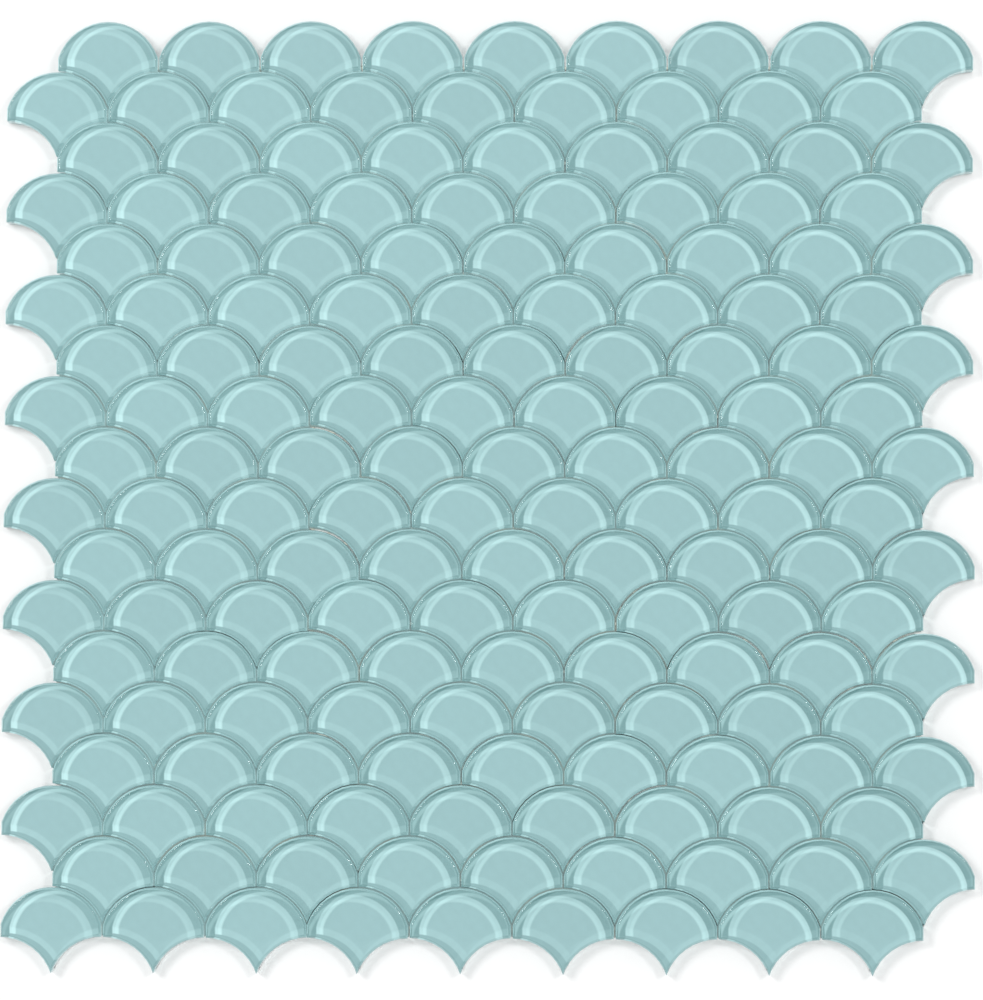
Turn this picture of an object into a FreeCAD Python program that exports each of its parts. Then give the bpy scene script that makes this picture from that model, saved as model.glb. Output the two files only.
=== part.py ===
"""A mesh-mounted sheet of glass fish scale tiles: rows of fan-shaped glass scales laid
half a scale out of step, bonded to a thin open glass-fibre mesh.

Units are millimetres. The sheet lies flat, faces up: X runs along the rows, +Y towards
the rounded crowns of the scales, and Z = 0 is the underside of the mesh, under the
middle of the sheet.
"""

import FreeCAD, Part

import math
import os
import Sketcher
from FreeCAD import Placement, Rotation, Vector

ROW_COUNT = 18
SCALES_PER_ROW = 9

# name, value, what it is
SIZES = [
    ("scale_pitch", 32.0, "from one scale to the next along a row"),
    ("row_pitch", 16.0, "from one row to the next"),
    ("joint_width", 0.6, "open joint between two scales"),
    ("shoulder_height", 5.0, "top of the straight side, above the centre of the crown arc"),
    ("glass_thickness", 6.0, "thickness of a scale"),
    ("edge_bevel", 0.8, "polished bevel round the face of a scale"),
    ("yarn_pitch", 5.0, "from one mesh yarn to the next, both ways"),
    ("yarn_width", 0.8, "width of a flattened yarn"),
    ("yarn_thickness", 0.25, "thickness of a flattened yarn"),
    ("mesh_margin", 1.5, "how far the mesh is trimmed back from the outline of the scales"),
]

# sizes that follow from the ones above
DERIVED = [
    ("half_pitch", "=scale_pitch / 2"),
    ("half_width", "=(scale_pitch - joint_width) / 2"),
    ("crown_radius", "=sqrt(half_width ^ 2 + shoulder_height ^ 2)"),
    ("hollow_radius", "=crown_radius + joint_width"),
    ("corner_drop", "=row_pitch - sqrt(hollow_radius ^ 2 - (half_pitch - half_width) ^ 2)"),
    ("tip_drop", "=row_pitch - sqrt(hollow_radius ^ 2 - half_pitch ^ 2)"),
    ("first_scale_x", f"=-scale_pitch * ({SCALES_PER_ROW} - 0.5) / 2"),
    ("first_row_y", f"=(row_pitch * ({ROW_COUNT} - 1) + tip_drop - crown_radius) / 2"),
    ("glass_base", "=2 * yarn_thickness"),
]


def add_size_sheet(doc):
    """The driving dimensions, then the sizes that follow from them."""
    sheet = doc.addObject("Spreadsheet::Sheet", "sizes")
    line = 0
    for name, value, meaning in SIZES:
        line += 1
        sheet.set(f"A{line}", meaning)
        sheet.set(f"B{line}", str(value))
        sheet.setAlias(f"B{line}", name)
    for name, formula in DERIVED:
        line += 1
        sheet.set(f"B{line}", formula)
        sheet.setAlias(f"B{line}", name)
    doc.recompute()
    return sheet


def row_is_shifted(row):
    """Every other row, from the first, lies half a scale to the right."""
    return row % 2 == 1


def arc_between(start, centre, end):
    """The counter-clockwise arc about centre from start to end."""
    circle = Part.Circle(centre, Vector(0, 0, 1), start.distanceToPoint(centre))
    return Part.ArcOfCircle(circle, circle.parameter(start), circle.parameter(end))


def scale_outline(sheet):
    """Crown arc, left side, left hollow, right hollow and right side of one scale, drawn
    about the centre of the crown arc. The hollows nest on the crowns of the row below."""
    left_shoulder = Vector(-sheet.half_width, sheet.shoulder_height, 0)
    left_corner = Vector(-sheet.half_width, -sheet.corner_drop, 0)
    tip = Vector(0, -sheet.tip_drop, 0)
    right_corner = Vector(sheet.half_width, -sheet.corner_drop, 0)
    right_shoulder = Vector(sheet.half_width, sheet.shoulder_height, 0)
    left_centre = Vector(-sheet.half_pitch, -sheet.row_pitch, 0)
    right_centre = Vector(sheet.half_pitch, -sheet.row_pitch, 0)
    return [
        arc_between(right_shoulder, Vector(), left_shoulder),
        Part.LineSegment(left_shoulder, left_corner),
        arc_between(tip, left_centre, left_corner),
        arc_between(right_corner, right_centre, tip),
        Part.LineSegment(right_corner, right_shoulder),
    ]


def draw_scale(sketch, sheet):
    """The outline of one scale, with its arcs and sides held by the sheet's sizes."""
    crown, left_side, left_hollow, right_hollow, right_side = sketch.addGeometry(
        scale_outline(sheet)
    )
    origin, start, end, centre = -1, 1, 2, 3
    joins = [
        (crown, centre, origin, start),
        (crown, end, left_side, start),
        (left_side, end, left_hollow, end),
        (left_hollow, start, right_hollow, end),
        (right_hollow, start, right_side, start),
        (right_side, end, crown, start),
    ]
    for join in joins:
        sketch.addConstraint(Sketcher.Constraint("Coincident", *join))
    sketch.addConstraint(Sketcher.Constraint("Vertical", left_side))
    sketch.addConstraint(Sketcher.Constraint("Vertical", right_side))

    def drive(size, kind, *where):
        index = sketch.addConstraint(Sketcher.Constraint(kind, *where, sheet.get(size)))
        sketch.setExpression(f"Constraints[{index}]", f"sizes.{size}")

    drive("crown_radius", "Radius", crown)
    drive("half_width", "DistanceX", left_side, start, origin, start)
    drive("half_width", "DistanceX", origin, start, right_side, end)
    for hollow in (left_hollow, right_hollow):
        drive("hollow_radius", "Radius", hollow)
        drive("row_pitch", "DistanceY", hollow, centre, origin, start)
    drive("half_pitch", "DistanceX", left_hollow, centre, origin, start)
    drive("half_pitch", "DistanceX", origin, start, right_hollow, centre)


def origin_feature(body, role):
    """One of the body's own origin planes or axes."""
    return next(feature for feature in body.Origin.OriginFeatures if feature.Role == role)


def edges_at_height(shape, height):
    """Names of the edges that lie wholly at the given height."""
    return [
        f"Edge{number}"
        for number, edge in enumerate(shape.Edges, start=1)
        if abs(edge.BoundBox.ZMin - height) < 1e-6 and abs(edge.BoundBox.ZMax - height) < 1e-6
    ]


def add_scale_row(doc, sheet, row):
    """A row of scales: one scale padded, bevelled round its face and repeated along X."""
    body = doc.addObject("PartDesign::Body", f"scale_row_{row:02d}")
    body.Label = f"scale_row_{row:02d}"
    body.AllowCompound = True

    sketch = body.newObject("Sketcher::SketchObject", "outline")
    sketch.AttachmentSupport = [(origin_feature(body, "XY_Plane"), "")]
    sketch.MapMode = "FlatFace"
    draw_scale(sketch, sheet)

    glass = body.newObject("PartDesign::Pad", "glass")
    glass.Profile = sketch
    glass.setExpression("Length", "sizes.glass_thickness")
    doc.recompute()

    bevel = body.newObject("PartDesign::Chamfer", "bevel")
    bevel.Base = (glass, edges_at_height(glass.Shape, sheet.glass_thickness))
    bevel.setExpression("Size", "sizes.edge_bevel")

    along_row = body.newObject("PartDesign::LinearPattern", "along_row")
    along_row.Originals = [glass, bevel]
    along_row.Direction = (origin_feature(body, "X_Axis"), [""])
    along_row.Occurrences = SCALES_PER_ROW
    along_row.setExpression("Length", f"sizes.scale_pitch * ({SCALES_PER_ROW} - 1)")
    body.Tip = along_row

    shift = " + sizes.half_pitch" if row_is_shifted(row) else ""
    body.setExpression("Placement.Base.x", f"sizes.first_scale_x{shift}")
    body.setExpression("Placement.Base.y", f"sizes.first_row_y - sizes.row_pitch * ({row} - 1)")
    body.setExpression("Placement.Base.z", "sizes.glass_base")
    return body


def mesh_outline(sheet):
    """The face that the mesh covers: the scalloped outline of all the scales together,
    trimmed back by the margin."""
    scale = Part.Face(Part.Wire([curve.toShape() for curve in scale_outline(sheet)]))
    sharp_corners, round_corners = 2, 0
    cell = scale.makeOffset2D(sheet.joint_width / 2, sharp_corners)
    cells = []
    for row in range(1, ROW_COUNT + 1):
        shift = sheet.half_pitch if row_is_shifted(row) else 0
        for number in range(SCALES_PER_ROW):
            placed = cell.copy()
            placed.translate(
                Vector(
                    sheet.first_scale_x + shift + number * sheet.scale_pitch,
                    sheet.first_row_y - (row - 1) * sheet.row_pitch,
                    0,
                )
            )
            cells.append(placed)
    whole = cells[0].multiFuse(cells[1:]).removeSplitter()
    filled = Part.Face(whole.Faces[0].OuterWire)
    return filled.makeOffset2D(-sheet.joint_width / 2 - sheet.mesh_margin, round_corners)


def add_mesh_layer(doc, sheet, outline, name, base, turn):
    """One layer of flat yarns, trimmed at the outline. Unturned yarns run along Y."""
    reach = outline.BoundBox.DiagonalLength / 2
    count = 2 * int(reach / sheet.yarn_pitch) + 1
    yarns = []
    for number in range(count):
        yarn = Part.makeBox(sheet.yarn_width, 2 * reach, sheet.yarn_thickness)
        across = (number - (count - 1) / 2) * sheet.yarn_pitch - sheet.yarn_width / 2
        yarn.translate(Vector(across, -reach, 0))
        yarns.append(yarn)
    layer = Part.makeCompound(yarns)
    layer.rotate(Vector(), Vector(0, 0, 1), turn)
    trimmed = layer.common(outline.extrude(Vector(0, 0, sheet.yarn_thickness)))
    mesh = doc.addObject("Part::Feature", name)
    mesh.Label = name
    mesh.Shape = Part.makeCompound(trimmed.Solids)
    mesh.Placement = Placement(Vector(0, 0, base), Rotation())
    return mesh


def check(doc, parts):
    """Stop if any object failed to build or any part has a bad shape."""
    for item in doc.Objects:
        if "Invalid" in item.State or "Error" in item.State:
            raise RuntimeError(f"{item.Name} failed: {item.State}")
    for part in parts:
        if part.Shape.isNull() or not part.Shape.isValid():
            raise RuntimeError(f"{part.Label} has a bad shape")


def build():
    doc = FreeCAD.newDocument("fish_scale_sheet")
    sheet = add_size_sheet(doc)
    parts = [add_scale_row(doc, sheet, row) for row in range(1, ROW_COUNT + 1)]
    outline = mesh_outline(sheet)
    parts.append(add_mesh_layer(doc, sheet, outline, "mesh_warp", 0, 0))
    parts.append(add_mesh_layer(doc, sheet, outline, "mesh_weft", sheet.yarn_thickness, 90))
    doc.recompute()
    check(doc, parts)
    os.makedirs("parts", exist_ok=True)
    for part in parts:
        part.Shape.exportStep(os.path.join("parts", f"{part.Label}.step"))
        print(part.Label, len(part.Shape.Solids), "solids", round(part.Shape.Volume, 1), "mm3")


build()
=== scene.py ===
import bpy
import math
import random
from mathutils import Matrix, Vector


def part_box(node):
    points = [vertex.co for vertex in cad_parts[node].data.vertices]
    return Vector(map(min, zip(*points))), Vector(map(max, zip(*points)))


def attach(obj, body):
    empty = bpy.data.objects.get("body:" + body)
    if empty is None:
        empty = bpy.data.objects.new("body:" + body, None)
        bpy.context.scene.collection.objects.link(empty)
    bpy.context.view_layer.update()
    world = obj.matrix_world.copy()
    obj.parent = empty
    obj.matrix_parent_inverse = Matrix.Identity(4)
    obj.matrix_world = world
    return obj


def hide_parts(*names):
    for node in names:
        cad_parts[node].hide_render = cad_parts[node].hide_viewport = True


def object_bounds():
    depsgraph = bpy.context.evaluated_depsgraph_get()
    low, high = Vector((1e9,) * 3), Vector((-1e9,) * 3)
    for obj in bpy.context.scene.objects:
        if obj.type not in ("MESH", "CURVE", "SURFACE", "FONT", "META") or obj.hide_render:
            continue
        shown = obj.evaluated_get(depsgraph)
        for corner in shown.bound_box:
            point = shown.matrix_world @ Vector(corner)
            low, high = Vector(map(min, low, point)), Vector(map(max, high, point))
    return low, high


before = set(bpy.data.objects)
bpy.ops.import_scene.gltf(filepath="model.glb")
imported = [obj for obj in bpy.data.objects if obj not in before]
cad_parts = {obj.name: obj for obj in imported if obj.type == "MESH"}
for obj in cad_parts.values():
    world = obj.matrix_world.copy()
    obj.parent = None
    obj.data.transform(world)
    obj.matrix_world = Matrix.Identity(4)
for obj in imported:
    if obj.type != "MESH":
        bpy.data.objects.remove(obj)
cad_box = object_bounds()


# The backing mesh
# A thin open scrim of flat glass-fibre yarns, the warp down the sheet and the weft across it.
# The yarns are dipped in resin, so they are pale, a little glossy and stiff.
MM = 0.001
FILAMENT = 0.22 * MM
FILAMENT_RELIEF = 0.03 * MM
WAVE_AT_SCALE_ONE = 0.314  # metres between the bands of a wave texture at a scale of 1
YARN_COLOUR = "#E9E6DC"
YARN_SHADE = "#B9B5A8"


def linear(hex_colour):
    """An sRGB hex colour as the linear colour that the shaders read."""
    channels = [int(hex_colour[i:i + 2], 16) / 255 for i in (1, 3, 5)]
    return [c / 12.92 if c <= 0.04045 else ((c + 0.055) / 1.055) ** 2.4 for c in channels] + [1.0]


def new_material(name):
    """An empty node material."""
    material = bpy.data.materials.new(name)
    material.use_nodes = True
    material.node_tree.nodes.clear()
    return material


def add_node(material, kind, settings=None, inputs=None):
    """One node with its settings, and with a value or another node's output on each input."""
    node = material.node_tree.nodes.new(kind)
    for name, value in (settings or {}).items():
        setattr(node, name, value)
    for name, value in (inputs or {}).items():
        if isinstance(value, bpy.types.NodeSocket):
            material.node_tree.links.new(value, node.inputs[name])
        else:
            node.inputs[name].default_value = value
    return node


def yarn_material(name, along):
    """Resin-dipped glass-fibre yarn: fine filaments that run along the yarn."""
    material = new_material(name)
    place = add_node(material, "ShaderNodeTexCoord").outputs["Object"]
    across = "X" if along == "Y" else "Y"
    filaments = add_node(
        material, "ShaderNodeTexWave", {"bands_direction": across},
        {
            "Vector": place, "Scale": WAVE_AT_SCALE_ONE / FILAMENT,
            "Distortion": 1.5, "Detail": 2.0, "Detail Scale": 2.0,
        },
    )
    colour = add_node(
        material, "ShaderNodeMix", {"data_type": "RGBA"},
        {0: filaments.outputs["Fac"], 6: linear(YARN_SHADE), 7: linear(YARN_COLOUR)},
    )
    relief = add_node(
        material, "ShaderNodeBump", {},
        {"Height": filaments.outputs["Fac"], "Distance": FILAMENT_RELIEF, "Strength": 0.8},
    )
    yarn = add_node(
        material, "ShaderNodeBsdfPrincipled", {},
        {"Base Color": colour.outputs[2], "Roughness": 0.45, "IOR": 1.55, "Normal": relief.outputs[0]},
    )
    add_node(material, "ShaderNodeOutputMaterial", {}, {"Surface": yarn.outputs[0]})
    return material


for mesh_node, yarn_direction in (("mesh_warp", "Y"), ("mesh_weft", "X")):
    finish = yarn_material(f"glass_fibre_{mesh_node}", yarn_direction)
    for material_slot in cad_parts[mesh_node].material_slots:
        material_slot.material = finish


# The scales
# Each is a fan of 6 mm clear glass with a polished arris round its face, and its underside is
# enamelled aqua under a white primer. They are bonded to the mesh row by row, by hand.
SCALES_PER_ROW = 9
SCALE_PITCH = 32 * MM
ROW_PITCH = 16 * MM
JOINT = 0.6 * MM
SHOULDER_HEIGHT = 5 * MM
ARRIS = 0.8 * MM
ARC_SIDES = 40  # few, because the shape is repeated 162 times
SMOOTH_UNDER = math.radians(25)
MERGE_WITHIN = 0.01 * MM
BOND_GAP = 0.08 * MM  # the room for the adhesive under the glass
HALF_WIDTH = (SCALE_PITCH - JOINT) / 2
CROWN_RADIUS = math.hypot(HALF_WIDTH, SHOULDER_HEIGHT)
HOLLOW_RADIUS = CROWN_RADIUS + JOINT
GLASS_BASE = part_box("scale_row_01")[0][2] + BOND_GAP
GLASS_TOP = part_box("scale_row_01")[1][2]


def add_disc(radius, x, y, base, top):
    """A new upright disc, alone in the selection, with its place in its mesh."""
    bpy.ops.object.select_all(action="DESELECT")
    bpy.ops.mesh.primitive_cylinder_add(
        vertices=ARC_SIDES, radius=radius, depth=top - base, location=(x, y, (base + top) / 2)
    )
    bpy.ops.object.transform_apply(location=True, rotation=False, scale=False)
    return bpy.context.active_object


def make_active(piece):
    """Select one object alone."""
    bpy.ops.object.select_all(action="DESELECT")
    piece.select_set(True)
    bpy.context.view_layer.objects.active = piece


def add_fan(base, top, outset=0):
    """A disc with its two straight sides and the two hollows that nest on the crowns below."""
    fan = add_disc(CROWN_RADIUS + outset, 0, 0, base, top)
    bpy.ops.object.mode_set(mode="EDIT")
    for side in (-1, 1):
        bpy.ops.mesh.select_all(action="SELECT")
        bpy.ops.mesh.bisect(
            plane_co=(side * (HALF_WIDTH + outset), 0, 0), plane_no=(side, 0, 0),
            use_fill=True, clear_outer=True,
        )
    bpy.ops.object.mode_set(mode="OBJECT")
    for side in (-1, 1):
        cutter = add_disc(
            HOLLOW_RADIUS - outset, side * SCALE_PITCH / 2, -ROW_PITCH, base - MM, top + MM
        )
        make_active(fan)
        hollow = fan.modifiers.new("hollow", "BOOLEAN")
        hollow.operation = "DIFFERENCE"
        hollow.object = cutter
        bpy.ops.object.modifier_apply(modifier=hollow.name)
        bpy.data.objects.remove(cutter)
    bpy.ops.object.mode_set(mode="EDIT")
    bpy.ops.mesh.select_all(action="SELECT")
    bpy.ops.mesh.remove_doubles(threshold=MERGE_WITHIN)
    bpy.ops.mesh.select_all(action="DESELECT")
    bpy.ops.object.mode_set(mode="OBJECT")
    return fan


def polish_arris(fan, top):
    """Round the rim of the face, and keep the face itself flat in the shading."""
    bpy.ops.object.mode_set(mode="EDIT")
    bpy.ops.mesh.select_mode(type="EDGE")
    bpy.ops.object.mode_set(mode="OBJECT")
    for edge in fan.data.edges:
        heights = [fan.data.vertices[end].co.z for end in edge.vertices]
        edge.select = all(abs(height - top) < MERGE_WITHIN for height in heights)
    bpy.ops.object.mode_set(mode="EDIT")
    bpy.ops.transform.edge_bevelweight(value=1)
    bpy.ops.object.mode_set(mode="OBJECT")
    bpy.ops.object.shade_smooth_by_angle(angle=SMOOTH_UNDER)
    arris = fan.modifiers.new("arris", "BEVEL")
    arris.limit_method = "WEIGHT"
    arris.width = ARRIS
    arris.segments = 1
    arris.harden_normals = True
    bpy.ops.object.modifier_apply(modifier=arris.name)


# Clear glass. It bends what is seen through it and lets the lamps reach the enamel under it. The
# arris is ground and polished by a wheel and glints more; its glass is tinted a little darker, as
# painted shade. Of all the glass, only the walls at the rim of the sheet cast a shadow on the table.
GLASS_IOR = 1.52
GLASS_TINT = "#F8FDFC"
ARRIS_SHADE_TINT = "#D8E1E0"


def glass_material(name, tint, roughness, shine, at_rim):
    """Clear glass that lamps shine through."""
    material = new_material(name)
    ray = add_node(material, "ShaderNodeLightPath")
    passes = add_node(
        material, "ShaderNodeMath", {"operation": "MAXIMUM"},
        {0: ray.outputs["Is Shadow Ray"], 1: ray.outputs["Is Diffuse Ray"]},
    )
    if at_rim:
        side = add_node(material, "ShaderNodeNewGeometry")
        passes = add_node(
            material, "ShaderNodeMath", {"operation": "MULTIPLY"},
            {0: passes.outputs[0], 1: side.outputs["Backfacing"]},
        )
    body = add_node(
        material, "ShaderNodeBsdfPrincipled", {},
        {
            "Base Color": linear(tint), "Transmission Weight": 1.0, "IOR": GLASS_IOR,
            "Roughness": roughness, "Specular IOR Level": shine,
        },
    )
    open_way = add_node(material, "ShaderNodeBsdfTransparent", {}, {"Color": linear(tint)})
    glass = add_node(
        material, "ShaderNodeMixShader", {},
        {0: passes.outputs[0], 1: body.outputs[0], 2: open_way.outputs[0]},
    )
    add_node(material, "ShaderNodeOutputMaterial", {}, {"Surface": glass.outputs[0]})
    return material


face_glass = glass_material("clear_polished_glass", GLASS_TINT, 0.01, 0.5, False)
arris_glass = glass_material("clear_ground_arris_painted_shade", ARRIS_SHADE_TINT, 0.05, 1.0, False)
wall_glass = glass_material("clear_sawn_glass", GLASS_TINT, 0.05, 0.5, False)
rim_glass = glass_material("clear_sawn_glass_at_the_rim", GLASS_TINT, 0.05, 0.5, True)

# Aqua enamel fired on the back of the glass, with light and shade painted into its colour. The light of
# a lamp beside the sheet enters the flat face and bends, so it misses a strip of enamel along the edges
# that face the lamp: that strip is painted shade. What enters through the arris is painted as a bright
# band inside that strip, and a little painted glow lies at the foot of the walls. All widths here are
# in mm.
ENAMEL = "#A3C5C9"
ENAMEL_PAINTED_SHADE = "#6F9699"
ENAMEL_PAINTED_BAND = "#D4F6F9"
FACE_INSET = 1.15  # from the crown and sides to the flat face
SIDE_EASE = 0.4  # how much less than that at the straight sides
INSET_BELOW = 0.25  # from the hollows to the flat face, as the enamel shows it
BAND_LINE = 1.1  # the painted band's inner line, its brightest part
MISSED_BLUR = 0.25
LINE_BLUR = 0.25
BAND_BLUR = 0.4
WALL_PAINTED_GLOW = 0.09  # the painted glow at the foot of the walls, as a share of the band's brightness
WALL_GLOW_REACH = 1.2
# A painted lamp's place is in mm from the middle of the sheet. Its painted band and its painted line
# each have a strength halfway round the scale and what is added where the edge faces the lamp.
PAINTED_LAMPS = {
    "left_lamp": {
        "place": Vector((-636, -369, 1057)), "band": (-0.05, 1.17), "line": (0.78, 0.45),
        "missed_below": 0.42, "band_below": 0.26,
    },
    "right_lamp": {
        "place": Vector((559, 160, 1037)), "band": (0.24, 0.67), "line": (0.95, 0.15),
        "missed_below": 0.0, "band_below": 0.14,
    },
}


def depth_in_scale(material, place):
    """How deep, in mm, a place lies inside the crown and sides, and inside the hollows."""
    from_centre = add_node(material, "ShaderNodeVectorMath", {"operation": "LENGTH"}, {0: place})
    in_crown = add_node(
        material, "ShaderNodeMath", {"operation": "SUBTRACT"},
        {0: CROWN_RADIUS / MM, 1: from_centre.outputs["Value"]},
    )
    parts = add_node(material, "ShaderNodeSeparateXYZ", {}, {0: place})
    sideways = add_node(
        material, "ShaderNodeMath", {"operation": "ABSOLUTE"}, {0: parts.outputs["X"]}
    )
    in_sides = add_node(
        material, "ShaderNodeMath", {"operation": "SUBTRACT"},
        {0: HALF_WIDTH / MM + SIDE_EASE, 1: sideways.outputs[0]},
    )
    above = add_node(
        material, "ShaderNodeMath", {"operation": "MINIMUM"},
        {0: in_crown.outputs[0], 1: in_sides.outputs[0]},
    )
    folded = add_node(
        material, "ShaderNodeCombineXYZ", {}, {"X": sideways.outputs[0], "Y": parts.outputs["Y"]}
    )
    from_hollow = add_node(
        material, "ShaderNodeVectorMath", {"operation": "DISTANCE"},
        {0: folded.outputs[0], 1: (SCALE_PITCH / 2 / MM, -ROW_PITCH / MM, 0)},
    )
    below = add_node(
        material, "ShaderNodeMath", {"operation": "SUBTRACT"},
        {0: from_hollow.outputs["Value"], 1: HOLLOW_RADIUS / MM},
    )
    return above.outputs[0], below.outputs[0]


def strip(material, depth, near, width, near_blur, far_blur, strengths):
    """A soft-edged strip, for painted light and painted shade alike, that starts at a depth, with its
    strengths multiplied together.
    """
    from_near = add_node(
        material, "ShaderNodeMath", {"operation": "SUBTRACT"}, {0: depth, 1: near}
    )
    left = add_node(
        material, "ShaderNodeMath", {"operation": "SUBTRACT"}, {0: width, 1: from_near.outputs[0]}
    )
    begins = add_node(
        material, "ShaderNodeMapRange", {"interpolation_type": "SMOOTHSTEP"},
        {"Value": from_near.outputs[0], 1: -near_blur, 2: near_blur},
    )
    ends = add_node(
        material, "ShaderNodeMapRange", {"interpolation_type": "SMOOTHSTEP"},
        {"Value": left.outputs[0], 1: -far_blur, 2: far_blur},
    )
    light = begins.outputs[0]
    for strength in [ends.outputs[0]] + strengths:
        light = add_node(
            material, "ShaderNodeMath", {"operation": "MULTIPLY"}, {0: light, 1: strength}
        ).outputs[0]
    return light


# The enamel's colour carries painted shade strips, painted bright bands and a painted glow at the foot
# of the walls.
enamel = new_material("aqua_back_enamel_with_painted_light")
on_scale = add_node(enamel, "ShaderNodeAttribute", {"attribute_name": "on_scale"}).outputs["Vector"]
OFF_EDGE = -50.0  # a depth far outside the scale, for strips that start or end there
OFF_EDGE_BLUR = 1.0
missed_strips = []
bright_strips = []
for lamp_name, lamp in PAINTED_LAMPS.items():
    missed_share = add_node(
        enamel, "ShaderNodeAttribute", {"attribute_name": f"{lamp_name}_missed"}
    ).outputs["Fac"]
    band_share = add_node(
        enamel, "ShaderNodeAttribute", {"attribute_name": f"{lamp_name}_band"}
    ).outputs["Fac"]
    shift = add_node(
        enamel, "ShaderNodeAttribute", {"attribute_name": f"{lamp_name}_shift"}
    ).outputs["Vector"]
    reach = add_node(
        enamel, "ShaderNodeVectorMath", {"operation": "LENGTH"}, {0: shift}
    ).outputs["Value"]
    moved = add_node(
        enamel, "ShaderNodeVectorMath", {"operation": "SUBTRACT"}, {0: on_scale, 1: shift}
    ).outputs[0]
    above, below = depth_in_scale(enamel, moved)
    outward = add_node(
        enamel, "ShaderNodeVectorMath", {"operation": "NORMALIZE"}, {0: moved}
    ).outputs[0]
    facing = add_node(
        enamel, "ShaderNodeVectorMath", {"operation": "DOT_PRODUCT"},
        {0: outward, 1: lamp["place"].xy.normalized().to_3d()},
    ).outputs["Value"]
    strengths = {}
    for part in ("band", "line"):
        level, slope = lamp[part]
        strength = add_node(
            enamel, "ShaderNodeMath", {"operation": "MULTIPLY_ADD"}, {0: facing, 1: slope, 2: level}
        )
        strengths[part] = add_node(
            enamel, "ShaderNodeMath", {"operation": "MAXIMUM"}, {0: strength.outputs[0], 1: 0.0}
        ).outputs[0]
    outer_width = add_node(
        enamel, "ShaderNodeMath", {"operation": "SUBTRACT"}, {0: reach, 1: BAND_LINE}
    ).outputs[0]
    line_start = add_node(
        enamel, "ShaderNodeMath", {"operation": "ADD"}, {0: outer_width, 1: FACE_INSET}
    ).outputs[0]
    lit_above = strip(enamel, above, FACE_INSET, -OFF_EDGE, MISSED_BLUR, OFF_EDGE_BLUR, [])
    lit_below = strip(enamel, below, INSET_BELOW, -OFF_EDGE, MISSED_BLUR, OFF_EDGE_BLUR, [])
    missed_strips += [
        strip(
            enamel, above, OFF_EDGE, FACE_INSET - OFF_EDGE, OFF_EDGE_BLUR, MISSED_BLUR,
            [missed_share],
        ),
        strip(
            enamel, below, OFF_EDGE, INSET_BELOW - OFF_EDGE, OFF_EDGE_BLUR, MISSED_BLUR,
            [missed_share, lamp["missed_below"], lit_above],
        ),
    ]
    bright_strips += [
        strip(
            enamel, above, FACE_INSET, outer_width, MISSED_BLUR, LINE_BLUR,
            [band_share, strengths["band"], lit_below],
        ),
        strip(
            enamel, above, line_start, BAND_LINE, LINE_BLUR, BAND_BLUR,
            [band_share, strengths["line"], lit_below],
        ),
        strip(
            enamel, below, INSET_BELOW, reach, MISSED_BLUR, BAND_BLUR,
            [band_share, lamp["band_below"], lit_above],
        ),
    ]
# A painted glow at the foot of the scale's own walls.
above, below = depth_in_scale(enamel, on_scale)
bright_strips.append(
    strip(enamel, above, OFF_EDGE, -OFF_EDGE, OFF_EDGE_BLUR, WALL_GLOW_REACH, [WALL_PAINTED_GLOW])
)
light_strips = []
for strips in (missed_strips, bright_strips):
    total = strips[0]
    for light in strips[1:]:
        total = add_node(
            enamel, "ShaderNodeMath", {"operation": "ADD"}, {0: total, 1: light}
        ).outputs[0]
    light_strips.append(total)
missed_light, bright_light = light_strips
# The painted shade and the painted bands are mixed into the enamel's colour.
shaded = add_node(
    enamel, "ShaderNodeMix", {"data_type": "RGBA"},
    {0: missed_light, 6: linear(ENAMEL), 7: linear(ENAMEL_PAINTED_SHADE)},
)
banded = add_node(
    enamel, "ShaderNodeMix", {"data_type": "RGBA"},
    {0: bright_light, 6: shaded.outputs[2], 7: linear(ENAMEL_PAINTED_BAND)},
)
FIRING_CLOUDS_PER_MM = 0.35
FIRING_PLAY = 0.02
firing = add_node(
    enamel, "ShaderNodeTexNoise", {},
    {"Vector": on_scale, "Scale": FIRING_CLOUDS_PER_MM, "Detail": 2.0},
)
tone = add_node(enamel, "ShaderNodeAttribute", {"attribute_name": "tone"}).outputs["Fac"]
uneven = add_node(
    enamel, "ShaderNodeMapRange", {},
    {"Value": firing.outputs["Fac"], 1: 0.3, 2: 0.7, 3: -FIRING_PLAY, 4: FIRING_PLAY},
)
shade = add_node(enamel, "ShaderNodeMath", {"operation": "ADD"}, {0: tone, 1: uneven.outputs[0]})
toned = add_node(
    enamel, "ShaderNodeVectorMath", {"operation": "SCALE"},
    {0: banded.outputs[2], "Scale": shade.outputs[0]},
)
coat = add_node(
    enamel, "ShaderNodeBsdfPrincipled", {},
    {"Base Color": toned.outputs[0], "Roughness": 0.7, "Specular IOR Level": 0.0},
)
add_node(enamel, "ShaderNodeOutputMaterial", {}, {"Surface": coat.outputs[0]})

# A face of the model is level, upright or, on the arris, between the two.
LEVEL = 0.95
UPRIGHT = 0.1
scale = add_fan(GLASS_BASE, GLASS_TOP)
polish_arris(scale, GLASS_TOP)
FACE, ARRIS_RIM, WALL, RIM_WALL, BACK = range(5)
for material in (face_glass, arris_glass, wall_glass, rim_glass, enamel):
    scale.data.materials.append(material)
for face in scale.data.polygons:
    if face.normal.z < -LEVEL:
        face.material_index = BACK
    elif face.normal.z < UPRIGHT:
        face.material_index = WALL
    elif face.normal.z < LEVEL:
        face.material_index = ARRIS_RIM
    else:
        face.material_index = FACE
on_scale_places = scale.data.attributes.new("on_scale", "FLOAT_VECTOR", "POINT")
for vertex in scale.data.vertices:
    on_scale_places.data[vertex.index].vector = (vertex.co.x / MM, vertex.co.y / MM, 0)
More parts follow.
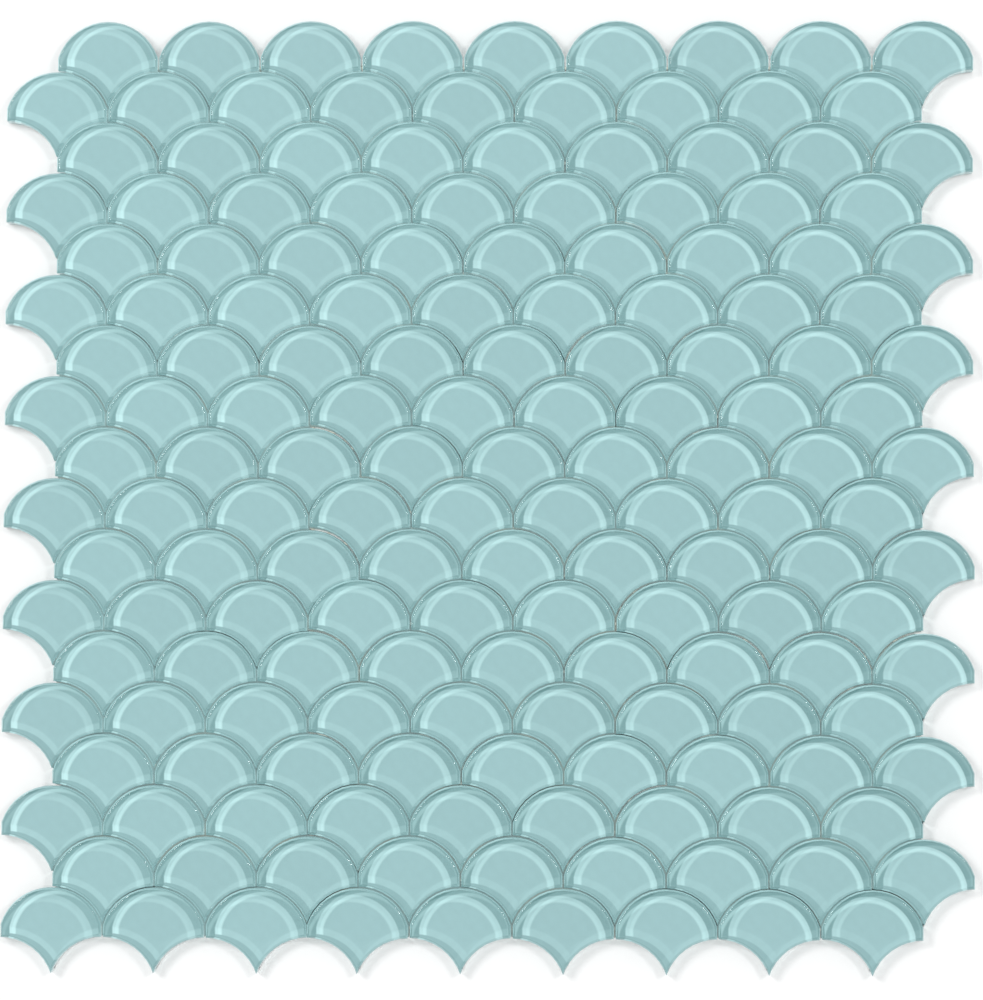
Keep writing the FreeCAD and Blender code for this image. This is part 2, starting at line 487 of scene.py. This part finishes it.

# Adhesive. A thin grey film bonds each scale to the mesh and shows at the foot of the joints, where its
# grey is also painted shade for the deep narrow joints, and the back of the scale is primed white.
ADHESIVE_AND_JOINT_SHADE = "#7E9698"
ADHESIVE_DRY = "#8F9B96"
PRIMER = "#E6E8E4"
PRIMER_THIN = "#DADDD8"
DRY_PATCHES_PER_METRE = 60.0
BRUSH_MARK = 2.5 * MM
BRUSH_RELIEF = 0.05 * MM
FILM_GAP = 0.01 * MM
FILM_TRIM = 0.6 * MM
adhesive = new_material("grey_adhesive_and_joint_shade")
primer = new_material("white_back_primer")
adhesive_place = add_node(adhesive, "ShaderNodeTexCoord").outputs["Object"]
spread = add_node(
    adhesive, "ShaderNodeTexNoise", {},
    {"Vector": adhesive_place, "Scale": DRY_PATCHES_PER_METRE, "Detail": 3.0},
)
patches = add_node(
    adhesive, "ShaderNodeMapRange", {}, {"Value": spread.outputs["Fac"], 1: 0.5, 2: 0.7}
)
film_colour = add_node(
    adhesive, "ShaderNodeMix", {"data_type": "RGBA"},
    {0: patches.outputs[0], 6: linear(ADHESIVE_AND_JOINT_SHADE), 7: linear(ADHESIVE_DRY)},
)
film_paste = add_node(
    adhesive, "ShaderNodeBsdfPrincipled", {},
    {"Base Color": film_colour.outputs[2], "Roughness": 0.6},
)
add_node(adhesive, "ShaderNodeOutputMaterial", {}, {"Surface": film_paste.outputs[0]})
primer_place = add_node(primer, "ShaderNodeTexCoord").outputs["Object"]
brushing = add_node(
    primer, "ShaderNodeTexNoise", {},
    {"Vector": primer_place, "Scale": 1 / BRUSH_MARK, "Detail": 3.0},
)
primer_colour = add_node(
    primer, "ShaderNodeMix", {"data_type": "RGBA"},
    {0: brushing.outputs["Fac"], 6: linear(PRIMER_THIN), 7: linear(PRIMER)},
)
primer_relief = add_node(
    primer, "ShaderNodeBump", {},
    {"Height": brushing.outputs["Fac"], "Distance": BRUSH_RELIEF, "Strength": 0.6},
)
primer_coat = add_node(
    primer, "ShaderNodeBsdfPrincipled", {},
    {"Base Color": primer_colour.outputs[2], "Roughness": 0.75, "Normal": primer_relief.outputs[0]},
)
add_node(primer, "ShaderNodeOutputMaterial", {}, {"Surface": primer_coat.outputs[0]})

film = add_fan(GLASS_BASE - BOND_GAP + FILM_GAP, GLASS_BASE - FILM_GAP, JOINT / 2)
film.data.materials.append(adhesive)
film.data.materials.append(primer)
for face in film.data.polygons:
    face.material_index = 1 if face.normal.z < -LEVEL else 0

# The lay. The sheet is set from nine smaller groups, each a little out of true, and each scale
# has a little play in its group. The painted light of the two lamps falls off across the sheet.
ROW_COUNT = 18
GROUP_COLUMNS, GROUP_ROWS = 3, 6
GROUP_PLAY = 0.18 * MM
GROUP_TURN = math.radians(0.2)
LAY_PLAY = 0.08 * MM
LAY_TURN = math.radians(0.3)
TONE_PLAY = 0.02
# the strength of each lamp's painted bands and painted shade strips at the left and the right of the
# sheet
PAINTED_LIGHT_FALL = {
    "left_lamp_band": (0.84, 0.31), "left_lamp_missed": (0.6, 0.6),
    "right_lamp_band": (0.18, 0.62), "right_lamp_missed": (0.3, 0.7),
}
LAY_SEED = 7
lay = random.Random(LAY_SEED)
groups = {}
for group_row in range(ROW_COUNT // GROUP_ROWS):
    for group_column in range(SCALES_PER_ROW // GROUP_COLUMNS):
        groups[group_row, group_column] = (
            Vector((lay.uniform(-GROUP_PLAY, GROUP_PLAY), lay.uniform(-GROUP_PLAY, GROUP_PLAY), 0)),
            lay.uniform(-GROUP_TURN, GROUP_TURN),
        )


def light_shift(lamp_place, place):
    """How far, in mm, light that enters the face of a scale moves sideways on its way to the enamel."""
    towards = lamp_place - place / MM
    bent = math.asin(math.sin(towards.angle(Vector((0, 0, 1)))) / GLASS_IOR)
    across = (GLASS_TOP - GLASS_BASE) / MM * math.tan(bent)
    return -across * towards.xy.normalized().to_3d()


def faces_off_sheet(normal, row_number, number):
    """Whether a wall of a scale looks off the sheet. Every other row is set in by half a scale
    on one side, where only the straight side of its end scale is at the rim."""
    at_all, straight = 0.02, 0.99
    shifted = row_number % 2 == 1
    off_left = number == 0 and -normal.x > (straight if shifted else at_all)
    off_right = number == SCALES_PER_ROW - 1 and normal.x > (at_all if shifted else straight)
    off_top = row_number == 1 and normal.y > at_all
    off_bottom = row_number == ROW_COUNT and -normal.y > at_all
    return off_left or off_right or off_top or off_bottom


def scale_lie(place, row_number, number):
    """How a scale lies, with the play of its group and its own."""
    group_row, group_column = (row_number - 1) // GROUP_ROWS, number // GROUP_COLUMNS
    group_play, group_turn = groups[group_row, group_column]
    group_x = ((group_column + 0.5) * GROUP_COLUMNS - SCALES_PER_ROW / 2) * SCALE_PITCH
    group_y = (ROW_COUNT / 2 - (group_row + 0.5) * GROUP_ROWS) * ROW_PITCH
    group_centre = Vector((group_x, group_y, 0))
    about_group = Matrix.Translation(group_centre) @ Matrix.Rotation(group_turn, 4, "Z")
    play = Vector((lay.uniform(-LAY_PLAY, LAY_PLAY), lay.uniform(-LAY_PLAY, LAY_PLAY), 0))
    turn = Matrix.Rotation(lay.uniform(-LAY_TURN, LAY_TURN), 4, "Z")
    return about_group @ Matrix.Translation(place - group_centre + group_play + play) @ turn


def move_into_sheet(glass):
    """The move that brings a scale back inside the size of the sheet."""
    move = Vector((0, 0, 0))
    for axis in (0, 1):
        along = [vertex.co[axis] for vertex in glass.vertices]
        move[axis] = max(0, cad_box[0][axis] - min(along)) - max(0, max(along) - cad_box[1][axis])
    return Matrix.Translation(move)


def trim_film(foot, tip, row_number, number):
    """Draw the film in under the rim of the sheet, where it would show."""
    outward = {}
    for face in foot.polygons:
        if abs(face.normal.z) < UPRIGHT and faces_off_sheet(face.normal, row_number, number):
            for corner in face.vertices:
                outward[corner] = outward.get(corner, Vector((0, 0, 0))) + face.normal
    for corner, normal in outward.items():
        foot.vertices[corner].co -= normal.normalized() * FILM_TRIM
    if row_number == ROW_COUNT:
        for vertex in foot.vertices:
            vertex.co.y = max(vertex.co.y, tip + 2 * FILM_TRIM)


def note_painted_light(glass, place, tone):
    """What the enamel reads on a scale: its tone, and how each lamp's painted light falls and shifts.
    """
    across = (place.x - cad_box[0][0]) / (cad_box[1][0] - cad_box[0][0])
    values = {}
    for name, (at_left, at_right) in PAINTED_LIGHT_FALL.items():
        values[name] = at_left + (at_right - at_left) * across
    values["tone"] = tone
    count = len(glass.vertices)
    for name, value in values.items():
        glass.attributes.new(name, "FLOAT", "POINT").data.foreach_set("value", [value] * count)
    for name, lamp in PAINTED_LAMPS.items():
        shift = glass.attributes.new(f"{name}_shift", "FLOAT_VECTOR", "POINT")
        shift.data.foreach_set("vector", list(light_shift(lamp["place"], place)) * count)


def lay_scale(low, high, row_number, number):
    """A copy of the scale in its place in a row, a little out of true, with its film under it."""
    place = Vector((low[0] + HALF_WIDTH + number * SCALE_PITCH, high[1] - CROWN_RADIUS, 0))
    lie = scale_lie(place, row_number, number)
    tone = 1 + lay.uniform(-TONE_PLAY, TONE_PLAY)
    pieces = []
    for source in (scale, film):
        copy = source.copy()
        copy.data = source.data.copy()
        copy.data.transform(lie)
        bpy.context.collection.objects.link(copy)
        pieces.append(copy)
    glass, foot = (copy.data for copy in pieces)
    move = move_into_sheet(glass)
    for mesh in (glass, foot):
        mesh.transform(move)
    trim_film(foot, min(vertex.co.y for vertex in glass.vertices), row_number, number)
    for face in glass.polygons:
        if face.material_index == WALL and faces_off_sheet(face.normal, row_number, number):
            face.material_index = RIM_WALL
    note_painted_light(glass, place, tone)
    return pieces


for row_number in range(1, ROW_COUNT + 1):
    row = f"scale_row_{row_number:02d}"
    row_low, row_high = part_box(row)
    laid = [lay_scale(row_low, row_high, row_number, number) for number in range(SCALES_PER_ROW)]
    for kind, of_kind in (("glass_scales", 0), ("adhesive_film", 1)):
        make_active(laid[0][of_kind])
        for pieces in laid:
            pieces[of_kind].select_set(True)
        bpy.ops.object.join()
        joined = bpy.context.active_object
        joined.name = f"{kind}_{row_number:02d}"
        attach(joined, "root")
        if kind == "glass_scales":
            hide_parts(row)
for model in (scale, film):
    bpy.data.objects.remove(model)


# The floor
# A plain white table under the sheet. It is white to the camera and keeps the sheet's shadow.
FLOOR_SIZE = 6.0
FLOOR_WHITE = "#FFFFFF"
FLOOR_DULL = "#E4E4E2"
bpy.ops.object.select_all(action="DESELECT")
bpy.ops.mesh.primitive_plane_add(size=FLOOR_SIZE, location=(0, 0, 0))
floor = bpy.context.active_object
floor.name = "floor"
table_top = new_material("white_table_top")
floor_ray = add_node(table_top, "ShaderNodeLightPath")
seen_floor = floor_ray.outputs["Is Camera Ray"]
for by_glass in ("Is Glossy Ray", "Is Transmission Ray"):
    seen_floor = add_node(
        table_top, "ShaderNodeMath", {"operation": "MAXIMUM"},
        {0: seen_floor, 1: floor_ray.outputs[by_glass]},
    ).outputs[0]
floor_colour = add_node(
    table_top, "ShaderNodeMix", {"data_type": "RGBA"},
    {0: seen_floor, 6: linear(FLOOR_DULL), 7: linear(FLOOR_WHITE)},
)
floor_paint = add_node(table_top, "ShaderNodeBsdfDiffuse", {}, {"Color": floor_colour.outputs[2]})
add_node(table_top, "ShaderNodeOutputMaterial", {}, {"Surface": floor_paint.outputs[0]})
floor.data.materials.append(table_top)


# The light
# Two softboxes stand left and right of the table, and the pale room fills the rest.
ROOM_LIGHT = 0.73
LAMP_DISTANCE = 1.8
scene = bpy.context.scene
scene.view_settings.view_transform = "Standard"
room = bpy.data.worlds.new("pale_room")
room.use_nodes = True
room.node_tree.nodes["Background"].inputs["Color"].default_value = (1, 1, 1, 1)
room.node_tree.nodes["Background"].inputs["Strength"].default_value = ROOM_LIGHT
scene.world = room


def add_softbox(name, size, bearing, off_vertical, on_floor):
    """A square softbox aimed at the sheet. on_floor is the brightness that it gives a white floor."""
    tilt = math.radians(off_vertical)
    turn = math.radians(bearing)
    towards = Vector((math.sin(tilt) * math.cos(turn), math.sin(tilt) * math.sin(turn), math.cos(tilt)))
    lamp = bpy.data.lights.new(name, "AREA")
    lamp.shape = "SQUARE"
    lamp.size = size
    lamp.energy = on_floor * math.pi ** 2 * LAMP_DISTANCE ** 2 / math.cos(tilt)
    softbox = bpy.data.objects.new(name, lamp)
    softbox.location = towards * LAMP_DISTANCE
    softbox.rotation_euler = towards.to_track_quat("Z", "Y").to_euler()
    bpy.context.collection.objects.link(softbox)


add_softbox("left_softbox", 0.5, 152, 32, 0.24)
add_softbox("right_softbox", 0.28, 22, 28, 0.13)


# The camera
# It looks straight down on the sheet from 1.4 m, tilted a few degrees as in the photograph.
PHOTO_WIDTH = 983
FOCAL_PIXELS = 4470
CAMERA_PLACE = Vector((36.3, -74.8, 1400)) * MM
CAMERA_TILT = Vector((math.radians(3.01), math.radians(1.44), math.radians(0.13)))
camera = bpy.data.cameras.new("camera")
camera.sensor_fit = "HORIZONTAL"
camera.lens = camera.sensor_width * FOCAL_PIXELS / PHOTO_WIDTH
viewpoint = bpy.data.objects.new("camera", camera)
viewpoint.location = CAMERA_PLACE
viewpoint.rotation_euler = Matrix.Rotation(CAMERA_TILT.length, 3, CAMERA_TILT.normalized()).to_euler()
bpy.context.collection.objects.link(viewpoint)
scene.camera = viewpoint
